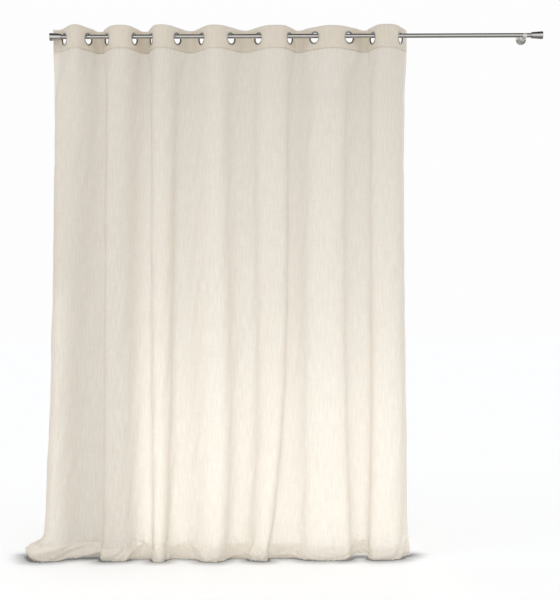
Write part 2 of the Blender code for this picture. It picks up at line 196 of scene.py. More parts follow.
COLUMNS_PER_FOLD = 28
EDGE_COLUMNS = 12
BODY_ROWS = 64
HEM_STEPS_PER_ROW = 6
CURVE_SAMPLES = 48


# The cloth's section, seen from above


def smooth_step(value):
    value = min(max(value, 0.0), 1.0)
    return value * value * (3 - 2 * value)


def below_heading(drop):
    return max(drop + HEADING_TOP - HEADING_HEIGHT, 0.0) / SETTLED_DROP


def at_drop(row, drop):
    """A crossing's or an edge's x at this drop: its eyelet's down the heading, then a cubic through the table."""
    cubic = np.polyfit(TABLE_DROPS, [-row.under, -row.upper, -row.lower, -row.foot], 3)
    below = max(drop, TABLE_DROPS[0])
    settled = smooth_step(below_heading(drop))
    return float(np.polyval(cubic, below) * settled - row.at_rod * (1 - settled)) * CM


def bend(angle, extra):
    along = (np.arange(CURVE_SAMPLES) + 0.5) / CURVE_SAMPLES
    heading = angle * np.cos(np.pi * along / 2) + extra * np.sin(np.pi * along)
    return np.sin(heading).mean(), np.cos(heading).mean()


def crest_place(arc, start, end, stiff, extra):
    rise_start, run_start = bend(start, extra)
    rise_end, run_end = bend(end, extra)
    step = stiff * (math.sin(end) - math.sin(start) + rise_start - rise_end)
    before = (step + arc * rise_end) / (rise_start + rise_end)
    run = stiff * (math.cos(start) + math.cos(end))
    run += (before - stiff) * run_start + (arc - before - stiff) * run_end
    return before, run


def solve_fold(chord, arc, start, end, stiff):
    tight, flat = TIGHTEST_BEND, FLATTEST_BEND * min(start, end)
    for _ in range(40):
        extra = (tight + flat) / 2
        before, run = crest_place(arc, start, end, stiff, extra)
        if run > chord:
            flat = extra
        else:
            tight = extra
    return before, extra


def fold_path(chord, arc, start, end, stiff, places):
    before, extra = solve_fold(chord, arc, start, end, stiff)
    length = np.linspace(0.0, arc, 4 * CURVE_SAMPLES + 1)
    left = np.clip((length - stiff) / (before - stiff), 0, 1)
    right = np.clip((arc - length - stiff) / (arc - before - stiff), 0, 1)
    heading_left = start * np.cos(np.pi * left / 2) + extra * np.sin(np.pi * left)
    heading_right = -end * np.cos(np.pi * right / 2) - extra * np.sin(np.pi * right)
    heading = np.where(length < before, heading_left, heading_right)
    middle = (heading[1:] + heading[:-1]) / 2
    run = np.concatenate([[0.0], np.cumsum(np.cos(middle)) * length[1]])
    rise = np.concatenate([[0.0], np.cumsum(np.sin(middle)) * length[1]])
    run *= chord / run[-1]
    rise -= rise[-1] * length / arc
    return np.interp(places, length, run), np.interp(places, length, rise)


def edge_path(span, angle, stiff, places):
    length = np.linspace(0.0, EDGE_TO_EYELET, CURVE_SAMPLES + 1)
    bent = np.clip((length - stiff) / (EDGE_TO_EYELET - stiff), 0, 1)
    low, high = math.radians(-60), math.radians(130)
    for _ in range(40):
        free_end = (low + high) / 2
        heading = angle + (free_end - angle) * bent
        middle = (heading[1:] + heading[:-1]) / 2
        run = np.concatenate([[0.0], np.cumsum(np.cos(middle)) * length[1]])
        rise = np.concatenate([[0.0], np.cumsum(np.sin(middle)) * length[1]])
        if run[-1] > span:
            low = free_end
        else:
            high = free_end
    return np.interp(places, length, run), np.interp(places, length, rise)


def crossing_angles(drop):
    settled = smooth_step(below_heading(drop))
    return [
        math.radians(row.angle_at_rod + (row.angle_below - row.angle_at_rod) * settled)
        for row in CROSSINGS
    ]


def section(drop, fold_share, edge_share):
    """(x, y, station, flat place across) of each column, from shares of a fold's and an edge strip's cloth."""
    settled = smooth_step(below_heading(drop))
    stiff = STIFF_HALF_WIDTH * (1 - smooth_step(STIFF_FADE * below_heading(drop)))
    x_at = [at_drop(row, drop) for row in CROSSINGS]
    angles = crossing_angles(drop)
    chords = np.diff(x_at)
    arcs = EYELET_PITCH + CLOTH_SLIDE * settled * (chords - chords.mean())
    columns = []

    places = EDGE_TO_EYELET * edge_share
    run, rise = edge_path(x_at[0] - at_drop(LEFT_EDGE, drop), angles[0], stiff, places[::-1])
    for share, across, back in list(zip(edge_share[::-1], run, rise))[:-1]:
        columns.append((x_at[0] - across, back, 0.5 - 0.5 * share, EDGE_TO_EYELET * (1 - share)))

    for k, (chord, arc) in enumerate(zip(chords, arcs)):
        side = -1 if k % 2 == 0 else 1
        run, rise = fold_path(chord, arc, angles[k], angles[k + 1], stiff, arc * fold_share)
        for share, across, out in zip(fold_share, run, rise):
            flat = EDGE_TO_EYELET + (k + share) * EYELET_PITCH
            columns.append((x_at[k] + across, side * out, k + 0.5 + share, flat))

    run, rise = edge_path(at_drop(RIGHT_EDGE, drop) - x_at[-1], angles[-1], stiff, places)
    for share, across, back in zip(edge_share, run, rise):
        flat = EDGE_TO_EYELET + 13 * EYELET_PITCH + EDGE_TO_EYELET * share
        columns.append((x_at[-1] + across, back, 13.5 + 0.5 * share, flat))
    return columns


def world(x, y, drop):
    return (x, y - ROD_TO_WALL, ROD_RISE - drop)


def toe_at(station):
    first = min(int(station), len(TOES) - 2)
    share = smooth_step(station - first)
    values = []
    for field, unit in (("right", MM), ("room", MM), ("lift", MM), ("tuck", 1)):
        start, end = getattr(TOES[first], field), getattr(TOES[first + 1], field)
        values.append((start + (end - start) * share) * unit)
    return values


def hem_place(row, station, x, y):
    """From a straight section's point to the hem's: x, y and the height above the floor."""
    right, room, lift, tuck = toe_at(station)
    kick = math.hypot(right, room)
    toe = smooth_step(kick / FULL_TOE)
    roll = smooth_step((kick - FULL_TOE) / FULL_TOE)
    tucked = (row.straight + (row.toe - row.straight) * toe) * (1 - roll) + row.roll * roll
    height = tucked * tuck + (row.straight + (row.flat - row.straight) * toe) * (1 - tuck)
    height = height * MM + lift * (1 - row.straight * MM / HEM_ZONE)
    reach = row.tucked_reach * tuck + row.flat_reach * (1 - tuck)
    return x + right * reach, y - room * reach, height


def hem_row(number):
    """A hem row between the table's rows, on a smooth curve through them."""
    first = min(int(number), len(HEM_ROWS) - 2)
    t = number - first
    rows = [HEM_ROWS[min(max(first + step, 0), len(HEM_ROWS) - 1)] for step in (-1, 0, 1, 2)]
    weights = (
        (-t + 2 * t * t - t**3) / 2,
        (2 - 5 * t * t + 3 * t**3) / 2,
        (t + 4 * t * t - 3 * t**3) / 2,
        (t**3 - t * t) / 2,
    )
    return HemRow(*(sum(w * row[field] for w, row in zip(weights, rows)) for field in range(6)))


# Cloth pieces


def cloth_mesh(name, grid, flat):
    """An open sheet whose points are moved to the hanging shape, with its flat place in metres as its UV map."""
    rows, columns = len(grid), len(grid[0])
    shape = bmesh.new()
    bmesh.ops.create_grid(shape, x_segments=columns - 1, y_segments=rows - 1, size=1.0)
    ordered = sorted(shape.verts, key=lambda v: (-round(v.co.y, 6), v.co.x))
    uv = shape.loops.layers.uv.new("flat")
    places = {}
    for number, vertex in enumerate(ordered):
        row, column = divmod(number, columns)
        places[vertex] = flat[row][column]
    for face in shape.faces:
        for loop in face.loops:
            loop[uv].uv = places[loop.vert]
    for number, vertex in enumerate(ordered):
        row, column = divmod(number, columns)
        vertex.co = grid[row][column]
    mesh = bpy.data.meshes.new(name)
    shape.to_mesh(mesh)
    shape.free()
    mesh.shade_smooth()
    piece = bpy.data.objects.new(name, mesh)
    bpy.context.scene.collection.objects.link(piece)
    return piece


def body_wave(flat, down, seed):
    """Soft unevenness of the hanging cloth, in metres, from a few long waves."""
    chance = np.random.default_rng(seed)
    total = np.zeros_like(flat)
    for _ in range(14):
        across = chance.uniform(4, 16)
        along = chance.uniform(1.5, 7)
        total += np.sin(2 * np.pi * (across * flat + along * down) + chance.uniform(0, 2 * np.pi))
    return total / 14


# The hem's main creases: both ends as a station across (fold 1's crest is 1) and mm up from the
# cloth's edge, the crease's half width and how far it stands out (a trough is below 0), in mm
Crease = namedtuple("Crease", "station up to_station to_up half_width out")
CREASES = (
    Crease(0.7, 60, 1.5, 95, 14, 7),
    Crease(1.3, 30, 2.1, 80, 12, -9),
    Crease(1.7, 20, 2.4, 60, 10, 8),
    Crease(2.9, 15, 3.3, 95, 10, -6),
    Crease(3.3, 25, 3.9, 110, 14, 9),
    Crease(3.9, 110, 4.3, 60, 12, 8),
    Crease(3.6, 20, 4.4, 45, 8, -7),
    Crease(4.3, 30, 5.2, 25, 8, 5),
    Crease(5.3, 20, 5.5, 125, 10, -12),
    Crease(5.6, 15, 5.9, 90, 8, 9),
    Crease(5.9, 20, 6.3, 40, 8, -6),
    Crease(6.1, 120, 6.6, 25, 9, -10),
    Crease(6.3, 125, 6.9, 40, 10, 6),
    Crease(6.6, 30, 7.4, 22, 8, 5),
    Crease(7.5, 20, 8.0, 45, 7, 6),
    Crease(7.7, 15, 8.5, 60, 7, -7),
    Crease(8.1, 25, 8.6, 130, 9, -8),
    Crease(8.5, 30, 8.8, 120, 9, 7),
    Crease(9.0, 15, 9.3, 60, 8, -5),
    Crease(9.5, 20, 10.1, 55, 8, 6),
    Crease(9.6, 40, 10.3, 25, 7, -7),
    Crease(10.0, 70, 10.4, 30, 9, 5),
    Crease(10.9, 15, 11.4, 45, 9, 5),
    Crease(11.3, 25, 11.7, 60, 9, -7),
    Crease(11.5, 60, 11.9, 130, 10, 8),
    Crease(12.2, 25, 12.6, 80, 10, -6),
    Crease(13.1, 20, 13.5, 100, 12, -7),
    Crease(13.4, 30, 13.8, 130, 12, 6),
)


def crease_offset(across, down):
    """How far the creases move the cloth outwards, in metres."""
    place = np.stack([across, FLAT_LENGTH - down], axis=-1)
    total = np.zeros_like(across)
    for crease in CREASES:
        ends = [
            np.array([EDGE_TO_EYELET + (station - 0.5) * EYELET_PITCH, up * MM])
            for station, up in ((crease.station, crease.up), (crease.to_station, crease.to_up))
        ]
        line = ends[1] - ends[0]
        share = np.clip((place - ends[0]) @ line / (line @ line), 0, 1)
        gap = np.linalg.norm(place - ends[0] - share[..., None] * line, axis=-1)
        total += crease.out * MM * np.exp(-((gap / (crease.half_width * MM)) ** 2))
    return total


def crumple(flat, down, seed):
    """Short slanting creases with sharp ridges, from folded waves."""
    chance = np.random.default_rng(seed)
    total = np.zeros_like(flat)
    for _ in range(10):
        lean = chance.uniform(-1.2, 1.2)
        pitch = chance.uniform(14, 34)
        wave = np.sin(2 * np.pi * pitch * (flat * math.cos(lean) + down * math.sin(lean)) + chance.uniform(0, 7))
        drift = np.sin(2 * np.pi * (chance.uniform(2, 6) * flat + chance.uniform(3, 9) * down) + chance.uniform(0, 7))
        total += (1 - 2 * np.abs(wave)) * np.clip(drift, 0, 1)
    return total / 10


def surface_normals(points):
    across = np.gradient(points, axis=1)
    down = np.gradient(points, axis=0)
    normal = np.cross(down, across)
    return normal / np.maximum(np.linalg.norm(normal, axis=2, keepdims=True), 1e-9)


def make_panel():
    fold_share = np.arange(COLUMNS_PER_FOLD) / COLUMNS_PER_FOLD
    edge_share = np.linspace(0.0, 1.0, EDGE_COLUMNS + 1)
    top = HEADING_HEIGHT - HEADING_TOP - 4 * MM
    hem_top = FLOOR_DROP - HEM_ZONE
    grid, flat = [], []
    for share in np.linspace(0.0, 1.0, BODY_ROWS) ** 1.25:
        drop = top + (hem_top - top) * share
        columns = section(drop, fold_share, edge_share)
        grid.append([world(x, y, drop) for x, y, _, _ in columns])
        flat.append([(u, HEADING_TOP + drop) for _, _, _, u in columns])
    rows = (len(HEM_ROWS) - 1) * HEM_STEPS_PER_ROW
    for step in range(1, rows + 1):
        row = hem_row(step / HEM_STEPS_PER_ROW)
        down = HEADING_TOP + hem_top + (FLAT_LENGTH - HEADING_TOP - hem_top) * step / rows
        columns = section(FLOOR_DROP - max(row.straight, 0.0) * MM, fold_share, edge_share)
        points = []
        for x, y, station, _ in columns:
            x, y, height = hem_place(row, station, x, y)
            points.append(world(x, y, FLOOR_DROP - height))
        grid.append(points)
        flat.append([(u, down) for _, _, _, u in columns])
    points, flat = np.array(grid), np.array(flat)

    across, down = flat[..., 0], flat[..., 1]
    hanging = np.clip((down - 0.13) / 0.35, 0, 1)
    near_floor = np.clip((down - (FLAT_LENGTH - 0.30)) / 0.22, 0, 1)
    offset = 6 * MM * hanging * body_wave(across, down, 3)
    offset += 16 * MM * near_floor**2 * crumple(across, down, 8) + crease_offset(across, down)
    points += surface_normals(points) * offset[..., None]
    floor = ROD_RISE - FLOOR_DROP
    points[..., 2] = np.maximum(points[..., 2], floor + 0.5 * MM)
    points[..., 1] = np.minimum(points[..., 1], -2 * MM)
    piece = cloth_mesh("sheer_panel", points, flat)
    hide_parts("panel")
    return piece


def heading_shares():
    flat_share = STIFF_HALF_WIDTH / EYELET_PITCH
    return np.concatenate(
        [
            np.linspace(0.0, flat_share, 5)[:-1],
            np.linspace(flat_share, 1 - flat_share, 17)[:-1],
            np.linspace(1 - flat_share, 1.0, 5)[:-1],
        ]
    )


def make_heading(frames):
    edge_share = np.array([0.0, 0.2, 0.41, 0.55, 0.7, 0.85, 1.0])
    drops = np.linspace(-HEADING_TOP, HEADING_HEIGHT - HEADING_TOP, 9)
    columns = section(0.0, heading_shares(), edge_share)
    grid, flat = [], []
    for drop in drops:
        tip = TOP_EDGE_TIP * smooth_step(-drop / HEADING_TOP)
        grid.append([world(x, y, drop + tip * y) for x, y, _, _ in columns])
        flat.append([(u, drop + HEADING_TOP) for _, _, _, u in columns])
    piece = cloth_mesh("heading_band", grid, flat)
    bpy.context.view_layer.objects.active = piece
    piece.select_set(True)
    solid = piece.modifiers.new("thickness", "SOLIDIFY")
    solid.thickness = HEADING_THICKNESS
    solid.offset = 0
    for number, place in enumerate(frames):
        bpy.ops.object.select_all(action="DESELECT")
        bpy.ops.mesh.primitive_cylinder_add(vertices=40, radius=HEADING_HOLE_RADIUS, depth=6 * HEADING_THICKNESS)
        hole = bpy.context.object
        hole.matrix_world = place
        bpy.context.view_layer.objects.active = piece
        cut = piece.modifiers.new(f"hole {number}", "BOOLEAN")
        cut.operation = "DIFFERENCE"
        cut.object = hole
    bpy.context.view_layer.update()
    piece.select_set(True)
    bpy.ops.object.convert(target="MESH")
    piece = bpy.context.object
    for hole in [o for o in bpy.data.objects if o.name.startswith("Cylinder")]:
        bpy.data.objects.remove(hole, do_unlink=True)
    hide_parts("heading")
    return piece


def eyelet_drop(angle):
    clear_radius = EYELET_HOLE_RADIUS * math.cos(math.pi / EYELET_STEPS)
    half_width = ROD_RADIUS / math.sin(angle)
    across = np.linspace(0.0, half_width, CURVE_SAMPLES)
    slant = EYELET_NEAREST / math.tan(angle)
    hole = np.sqrt(clear_radius**2 - (across + slant) ** 2)
    rod = ROD_RADIUS * np.sqrt(1 - (across / half_width) ** 2)
    return float((hole - rod).min()) - GAP


def along(direction, place):
    z = Vector(direction).normalized()
    y = Vector((0, 0, 1))
    turn = Matrix((y.cross(z), y, z)).transposed().to_4x4()
    return Matrix.Translation(place) @ turn


def eyelet_frames():
    frames = []
    for k, (row, angle) in enumerate(zip(CROSSINGS, crossing_angles(0.0))):
        towards_room = 1 if k % 2 == 0 else -1
        normal = (-towards_room * math.sin(angle), -math.cos(angle), 0)
        frames.append(along(normal, world(at_drop(row, 0.0), 0.0, eyelet_drop(angle))))
    return frames


# Metal pieces


def fresh(add, **sizes):
    """A new primitive, alone selected and in edit mode."""
    bpy.ops.object.select_all(action="DESELECT")
    add(**sizes)
    bpy.ops.object.mode_set(mode="EDIT")
    return bpy.context.object


def pick(piece, kind, rule):
    """Selects the edges or faces of the edited mesh for which the rule holds."""
    shape = bmesh.from_edit_mesh(piece.data)
    for element in (*shape.verts, *shape.edges, *shape.faces):
        element.select = False
    bpy.context.tool_settings.mesh_select_mode = (False, kind == "edges", kind == "faces")
    for element in getattr(shape, kind):
        if rule(element):
            element.select_set(True)
    bmesh.update_edit_mesh(piece.data)


def placed(piece, name, matrix):
    """Leaves edit mode and puts the piece's place in its mesh."""
    bpy.ops.object.mode_set(mode="OBJECT")
    piece.name = piece.data.name = name
    piece.data.transform(matrix @ piece.matrix_basis)
    piece.matrix_basis = Matrix.Identity(4)
    bpy.ops.object.select_all(action="DESELECT")
    piece.select_set(True)
    bpy.context.view_layer.objects.active = piece
    bpy.ops.object.shade_smooth_by_angle(angle=math.radians(38))
    return piece


# Profile of a pressed ring, from the outer rim over the front face into the hole and back over the other face
RingPoint = namedtuple("RingPoint", "radius height")
RING_FACE = (
    RingPoint(27.9, 1.8),
    RingPoint(28.8, 1.85),
    RingPoint(29.0, 2.2),
    RingPoint(28.7, 2.7),
    RingPoint(27.9, 3.2),
    RingPoint(26.8, 3.65),
    RingPoint(25.5, 3.85),
    RingPoint(24.4, 3.5),
    RingPoint(23.4, 2.8),
    RingPoint(22.5, 2.05),
    RingPoint(21.9, 1.45),
    RingPoint(21.55, 0.8),
    RingPoint(21.5, 0.0),
)


def turned(name, profile, steps, closed=False):
    """A turned piece: a circle pulled out, ring by ring, along a profile of (radius, height)."""
    piece = fresh(
        bpy.ops.mesh.primitive_circle_add,
        vertices=steps,
        radius=profile[0][0],
        fill_type="NOTHING" if closed else "NGON",
        location=(0, 0, profile[0][1]),
    )
    pick(piece, "edges", lambda edge: True)
    for before, after in zip(profile, profile[1:]):
        bpy.ops.mesh.extrude_edges_move(TRANSFORM_OT_translate={"value": (0, 0, after[1] - before[1])})
        scale = after[0] / before[0]
        bpy.ops.transform.resize(value=(scale, scale, 1), center_override=(0, 0, after[1]))
    if closed:
        bpy.ops.mesh.select_all(action="SELECT")
        bpy.ops.mesh.remove_doubles(threshold=0.00001)
    else:
        bpy.ops.mesh.edge_face_add()
        bpy.ops.mesh.select_all(action="SELECT")
    bpy.ops.mesh.normals_make_consistent(inside=False)
    return piece


def make_eyelets(frames, material):
    """Pressed rings that grip the cloth: a domed face on each side of it, joined by the rolled barrel."""
    face = [(point.radius * MM, point.height * MM) for point in RING_FACE]
    back = [(radius, -height) for radius, height in reversed(face[:-1])]
    barrel = [(22.95 * MM, -1.8 * MM), (22.95 * MM, 1.8 * MM)]
    for number, place in enumerate(frames):
        ring = turned("ring", face + back + barrel + face[:1], RING_STEPS, closed=True)
        ring = placed(ring, f"pressed_eyelet_{number + 1:02d}", place)
        # the "inside" attribute marks the bore, where the ring's material paints shade
        inside = ring.data.attributes.new("inside", "FLOAT", "POINT")
        for vertex in ring.data.vertices:
            radius = (place.inverted() @ vertex.co).xy.length
            inside.data[vertex.index].value = 1 - smooth_step((radius - 22 * MM) / (2.2 * MM))
        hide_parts(f"eyelet_{number + 1:02d}")
        dress(ring, material)


def ends_to_axis(profile):
    """A profile from the axis over the piece and back to the axis, so that both ends close in a point."""
    return ((0.2 * MM, profile[0][1]), *profile, (0.2 * MM, profile[-1][1]))


def make_rod(material):
    length = ROD_RIGHT_END - ROD_LEFT_END
    chamfer = 0.8 * MM
    profile = (
        (ROD_RADIUS - chamfer, 0.0),
        (ROD_RADIUS, chamfer),
        (ROD_RADIUS, length - chamfer),
        (ROD_RADIUS - chamfer, length),
    )
    rod = turned("rod", ends_to_axis(profile), ROUND_STEPS)
    rod = placed(rod, "curtain_rod", along((1, 0, 0), (ROD_LEFT_END, -ROD_TO_WALL, ROD_RISE)))
    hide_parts("rod")
    dress(rod, material)


# A finial's profile, in mm along it from the rod's end: a collar, a shallow groove, the cone and its eased rim
FINIAL_PROFILE = (
    (13.3, 0.0),
    (13.9, 0.25),
    (14.1, 0.8),
    (14.15, 3.4),
    (14.0, 3.9),
    (13.7, 4.1),
    (13.7, 4.7),
    (14.0, 4.9),
    (14.25, 5.3),
    (17.9, 50.6),
    (18.0, 51.4),
    (17.9, 52.1),
    (17.5, 52.7),
    (16.8, 53.0),
    (14.5, 53.0),
    (14.2, 52.7),
    (13.8, 52.6),
)


def make_finials(material):
    for side, end, start in (("left", -1, ROD_LEFT_END - GAP), ("right", 1, ROD_RIGHT_END + GAP)):
        profile = ends_to_axis([(radius * MM, height * MM) for radius, height in FINIAL_PROFILE])
        finial = turned("finial", profile, ROUND_STEPS)
        finial = placed(finial, f"cone_finial_{side}", along((end, 0, 0), (start, -ROD_TO_WALL, ROD_RISE)))
        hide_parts(f"finial_{side}")
        dress(finial, material)


# A wall plate's profile, in mm from the wall: a straight edge, a rolled shoulder, a faint dish and the arm's boss
PLATE_PROFILE = (
    (23.5, 0.0),
    (24.0, 0.4),
    (24.0, 3.4),
    (23.8, 4.4),
    (23.2, 5.3),
    (22.3, 5.85),
    (21.2, 6.0),
    (14.0, 5.9),
    (13.2, 5.8),
    (12.6, 5.6),
    (12.2, 5.9),
    (11.9, 6.0),
)


def make_plates(material):
    for side, bracket_x in (("left", -BRACKET_SPACING), ("right", 0.0)):
        profile = ends_to_axis([(radius * MM, height * MM) for radius, height in PLATE_PROFILE])
        plate = turned("plate", profile, ROUND_STEPS)
        plate = placed(plate, f"round_plate_{side}", along((0, -1, 0), (bracket_x, 0, 0)))
        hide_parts(f"wall_plate_{side}")
        dress(plate, material)


def make_arms(material):
    """A round arm, its front end eased, with the open saddle cut through it and the saddle's edges broken."""
    start = PLATE_THICKNESS + GAP
    slot = ROD_RADIUS + GAP
    length = ROD_TO_WALL + slot + ARM_LIP - start
    ease = 1.2 * MM
    profile = (
        (ARM_RADIUS - 0.3 * MM, 0.0),
        (ARM_RADIUS, 0.3 * MM),
        (ARM_RADIUS, length - ease),
        (ARM_RADIUS - 0.35 * ease, length - 0.35 * ease),
        (ARM_RADIUS - ease, length),
    )
    for side, bracket_x in (("left", -BRACKET_SPACING), ("right", 0.0)):
        arm = turned("arm", ends_to_axis(profile), ROUND_STEPS)
        arm = placed(arm, f"saddle_arm_{side}", along((0, -1, 0), (bracket_x, -start, 0)))
        bpy.ops.object.select_all(action="DESELECT")
        seat_at = Vector((bracket_x, -ROD_TO_WALL, ROD_RISE))
        bpy.ops.mesh.primitive_cylinder_add(vertices=64, radius=slot, depth=4 * ARM_RADIUS, location=seat_at, rotation=(0, math.pi / 2, 0))
        seat = bpy.context.object
        bpy.ops.mesh.primitive_cube_add(size=1, location=seat_at + Vector((0, 0, ARM_RADIUS)))
        mouth = bpy.context.object
        mouth.scale = (4 * ARM_RADIUS, 2 * slot, 2 * ARM_RADIUS)
        bpy.ops.object.select_all(action="DESELECT")
        arm.select_set(True)
        bpy.context.view_layer.objects.active = arm
        for tool in (seat, mouth):
            cut = arm.modifiers.new("saddle", "BOOLEAN")
            cut.operation = "DIFFERENCE"
            cut.object = tool
            bpy.ops.object.modifier_apply(modifier="saddle")
        edge = arm.modifiers.new("broken edges", "BEVEL")
        edge.width = 0.5 * MM
        edge.segments = 2
        edge.limit_method = "ANGLE"
        edge.angle_limit = math.radians(50)
        bpy.ops.object.modifier_apply(modifier="broken edges")
        bpy.ops.object.shade_smooth_by_angle(angle=math.radians(35))
        for tool in (seat, mouth):
            bpy.data.objects.remove(tool, do_unlink=True)
        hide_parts(f"bracket_arm_{side}")
        dress(arm, material)


# Materials


class Shade:
    """A socket in a material's node tree. Arithmetic on it adds Math nodes."""

    def __init__(self, tree, socket=None):
        self.tree = tree
        self.socket = socket

    def node(self, kind, settings=None, inputs=None, out=0):
        """The output of a new node, whose settings are set before its sockets are given values or links."""
        made = self.tree.nodes.new(kind)
        for key, value in (settings or {}).items():
            if key == "stops":
                ramp = made.color_ramp.elements
                while len(ramp) < len(value):
                    ramp.new(0.5)
                for stop, (place, color) in zip(ramp, value):
                    stop.position = place
                    stop.color = color
            else:
                setattr(made, key, value)
        for key, value in (inputs or {}).items():
            if isinstance(value, Shade):
                self.tree.links.new(value.socket, made.inputs[key])
            else:
                made.inputs[key].default_value = value
        return Shade(self.tree, made.outputs[out] if made.outputs else None)

    def math(self, operation, first, second=0.0):
        return self.node("ShaderNodeMath", {"operation": operation}, {0: first, 1: second})

    def __add__(self, other):
        return self.math("ADD", self, other)

    def __radd__(self, other):
        return self.math("ADD", other, self)

    def __sub__(self, other):
        return self.math("SUBTRACT", self, other)

    def __rsub__(self, other):
        return self.math("SUBTRACT", other, self)

    def __mul__(self, other):
        return self.math("MULTIPLY", self, other)

    def __rmul__(self, other):
        return self.math("MULTIPLY", other, self)

    def __gt__(self, other):
        return self.math("GREATER_THAN", self, other)

    def __lt__(self, other):
        return self.math("LESS_THAN", self, other)

    def __abs__(self):
        return self.math("ABSOLUTE", self)


def new_material(name):
    material = bpy.data.materials.new(name)
    material.use_nodes = True
    material.node_tree.nodes.clear()
    return material, Shade(material.node_tree)


def linen(name, alpha, glow, tone):
    """Loose linen-look weave on the cloth's flat place: slubs both ways, hems that are double, rows of stitches."""
    material, shade = new_material(name)
    place = shade.node("ShaderNodeUVMap", {"uv_map": "flat"})
    split = shade.node("ShaderNodeSeparateXYZ", inputs={0: place})
    across, down = split, Shade(shade.tree, split.socket.node.outputs[1])

    def streaks(per_metre_across, per_metre_down, detail):
        stretched = shade.node(
            "ShaderNodeMapping", inputs={"Vector": place, "Scale": (per_metre_across, per_metre_down, 1)}
        )
        return shade.node(
            "ShaderNodeTexNoise", {"noise_dimensions": "2D"}, {"Vector": stretched, "Scale": 1.0, "Detail": detail}
        )

    slub_down = streaks(140, 14, 3.0) - 0.5
    thread_down = streaks(620, 40, 2.0) - 0.5
    slub_across = streaks(16, 170, 3.0) - 0.5
    thread_across = streaks(40, 900, 1.0) - 0.5
    patch = streaks(7, 4, 3.0) - 0.5
    weave = 0.47 * slub_down + 0.14 * thread_down + 0.17 * slub_across + 0.05 * thread_across

    hem = down > FLAT_LENGTH - HEM_STITCH
    side = (across < 0.024) + (across > FLAT_WIDTH - 0.024)
    double = shade.math("MINIMUM", hem + side, 1.0)

    def stitch_row(distance, along_row):
        line = abs(distance) < 0.0006
        dash = shade.math("FRACT", along_row * 260.0) < 0.72
        return line * dash

    stitches = stitch_row(down - (FLAT_LENGTH - HEM_STITCH + 0.002), across)
    stitches = stitches + stitch_row(down - (HEADING_HEIGHT - 0.003), across)
    stitches = stitches + stitch_row(across - 0.022, down) + stitch_row(across - (FLAT_WIDTH - 0.022), down)

    value = tone + weave * (1 - 0.4 * double) + 0.06 * patch + 0.15 * double - 0.1 * stitches
    color = shade.node(
        "ShaderNodeMix",
        {"data_type": "RGBA"},
        {"Factor": shade.math("MINIMUM", shade.math("MAXIMUM", value, 0.0), 1.0), "A": DARK_LINEN, "B": PALE_LINEN},
        out=2,
    )
    cover = shade.math("MINIMUM", alpha + 0.25 * weave + (1 - alpha) * 0.6 * double, 1.0)
    bump = shade.node(
        "ShaderNodeBump",
        inputs={"Strength": 0.35, "Distance": 0.0006, "Height": weave + 0.5 * double + stitches},
    )
    cloth = shade.node(
        "ShaderNodeBsdfPrincipled",
        inputs={
            "Base Color": color,
            "Roughness": 0.92,
            "Sheen Weight": 0.12,
            "Sheen Roughness": 0.5,
            "Specular IOR Level": 0.15,
            "Alpha": cover,
            "Normal": bump,
        },
    )
    through = shade.node("ShaderNodeBsdfTranslucent", inputs={"Color": THROUGH_LINEN, "Normal": bump})
    both = shade.node("ShaderNodeMixShader", inputs={0: glow * (1 - 0.5 * double), 1: cloth, 2: through})
    shade.node("ShaderNodeOutputMaterial", inputs={"Surface": both})
    return material


DARK_LINEN = (0.575, 0.505, 0.41, 1)
PALE_LINEN = (0.92, 0.852, 0.745, 1)
THROUGH_LINEN = (0.81, 0.78, 0.72, 1)
# the near black that paints shade into the rings' bores
BORE_SHADE_COLOR = (0.05, 0.045, 0.04, 1)


def satin_steel(name, color, roughness, brushed_along, painted_bore_shade=False):
    """Brushed metal: fine lines along or round the piece, on its own coordinates. Rings get painted shade in their
    bore.
    """
    material, shade = new_material(name)
    place = shade.node("ShaderNodeTexCoord", out=3)
    scale = tuple(30.0 if axis == brushed_along else 2600.0 for axis in "XYZ")
    stretched = shade.node("ShaderNodeMapping", inputs={"Vector": place, "Scale": scale})
    lines = shade.node("ShaderNodeTexNoise", inputs={"Vector": stretched, "Scale": 1.0, "Detail": 3.0}) - 0.5
    smudge = shade.node("ShaderNodeTexNoise", inputs={"Vector": place, "Scale": 22.0, "Detail": 4.0}) - 0.5
    dark = tuple(0.82 * value for value in color) + (1,)
    pale = color + (1,)
    tint = shade.node("ShaderNodeMix", {"data_type": "RGBA"}, {"Factor": 0.6 + 0.35 * lines + 0.3 * smudge, "A": dark, "B": pale}, out=2)
    if painted_bore_shade:
        # painted shade: the bore darkens to near black
        inside = shade.node("ShaderNodeAttribute", {"attribute_name": "inside"}, out=2)
        tint = shade.node("ShaderNodeMix", {"data_type": "RGBA"}, {"Factor": 0.85 * inside, "A": tint, "B": BORE_SHADE_COLOR}, out=2)
    bump = shade.node("ShaderNodeBump", inputs={"Strength": 0.05, "Distance": 0.0002, "Height": lines})
    metal = shade.node(
        "ShaderNodeBsdfPrincipled",
        inputs={
            "Base Color": tint,
            "Metallic": 1.0,
            "Roughness": roughness + 0.06 * lines + 0.06 * smudge,
            "Normal": bump,
        },
    )
    shade.node("ShaderNodeOutputMaterial", inputs={"Surface": metal})
    return material


def dress(piece, material):
    piece.data.materials.clear()
    piece.data.materials.append(material)
    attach(piece, "root")


def make_camera():
    camera = bpy.data.objects.new("camera", bpy.data.cameras.new("camera"))
    bpy.context.scene.collection.objects.link(camera)
    camera.data.lens = CAMERA_LENS
    camera.data.sensor_width = 36
    camera.location = CAMERA_AT
    camera.rotation_euler = (math.pi / 2, CAMERA_ROLL, 0)
    camera.data.clip_start = 0.1
    bpy.context.scene.camera = camera


